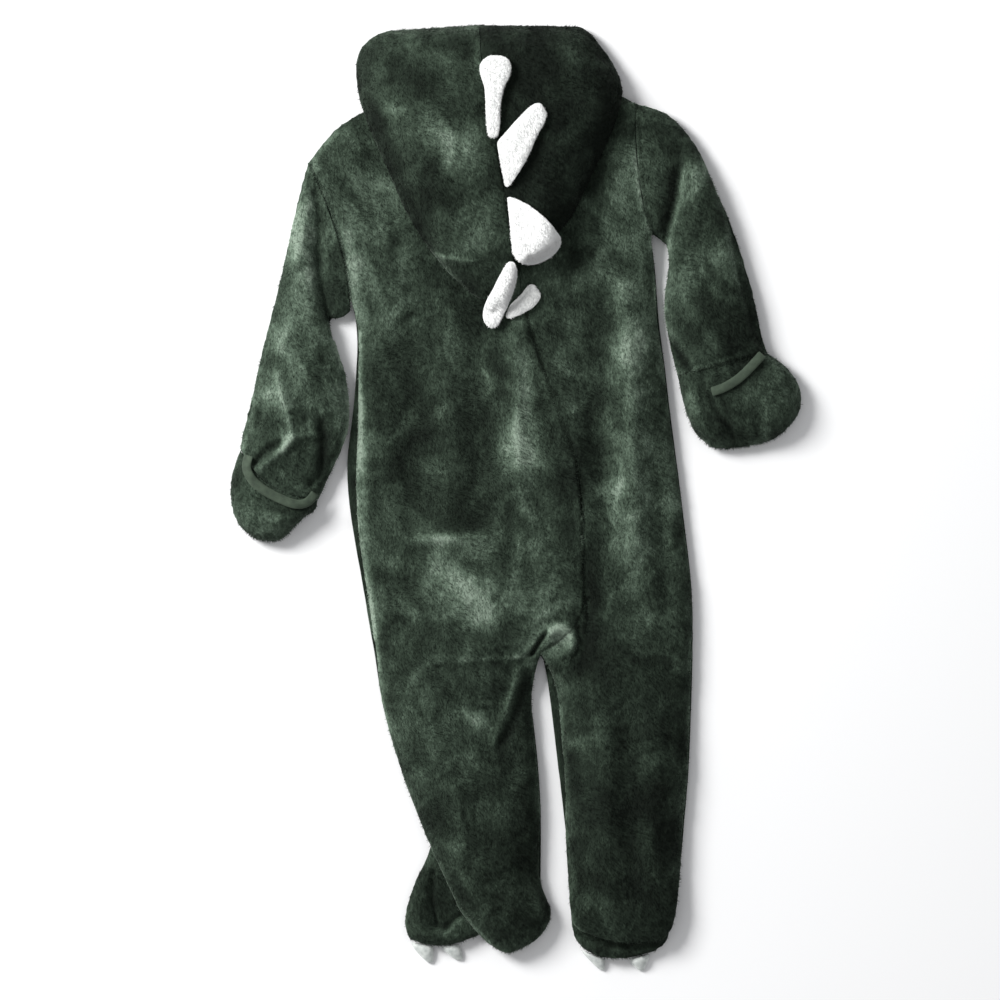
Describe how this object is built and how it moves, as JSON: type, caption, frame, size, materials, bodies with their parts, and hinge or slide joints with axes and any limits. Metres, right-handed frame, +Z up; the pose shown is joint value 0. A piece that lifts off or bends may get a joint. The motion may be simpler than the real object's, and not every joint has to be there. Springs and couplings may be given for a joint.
{
  "type": "plush dinosaur costume",
  "caption": "Toddler's one-piece plush dinosaur costume laid flat, back up, hood turned down with stuffed white spikes, fold-over mitten cuffs and clawed feet.",
  "frame": {"origin": "on the surface the garment lies on, under the middle of its footprint", "axes": "+Z up out of that surface, +Y from the feet to the hood, +X to the right of a viewer who looks down on the back with the hood away from them"},
  "size_m": [0.5136, 0.8498, 0.053],
  "materials": {
    "plush_light": "short brushed plush, dark sage green",
    "plush_dark": "short brushed plush, very dark green",
    "rib_binding": "ribbed knit binding, sage green",
    "plush_white": "short white plush over stuffing",
    "claw_satin": "pale grey satin cloth over stuffing",
    "zip_nylon": "woven dark green zip tape with a nylon coil"
  },
  "bodies": {
    "root": {"back_left": "plush_light", "back_right": "plush_dark", "front_left": "plush_light", "front_right": "plush_dark", "sleeve_left": "plush_light", "sleeve_right": "plush_dark", "mitten_left": "plush_light", "mitten_right": "plush_dark", "binding_left": "rib_binding", "binding_right": "rib_binding", "hood_left": "plush_light", "hood_right": "plush_dark", "hood_inner": "plush_dark", "neck_roll": "plush_dark", "spike_1": "plush_white", "spike_2": "plush_white", "spike_3": "plush_white", "spike_4": "plush_white", "spike_5": "plush_white", "sole_left": "plush_dark", "sole_right": "plush_dark", "foot_left": "plush_light", "foot_right": "plush_dark", "claw_left_1": "claw_satin", "claw_left_2": "claw_satin", "claw_right_1": "claw_satin", "claw_right_2": "claw_satin", "zip_tape": "zip_nylon"}
  },
  "joints": []
}
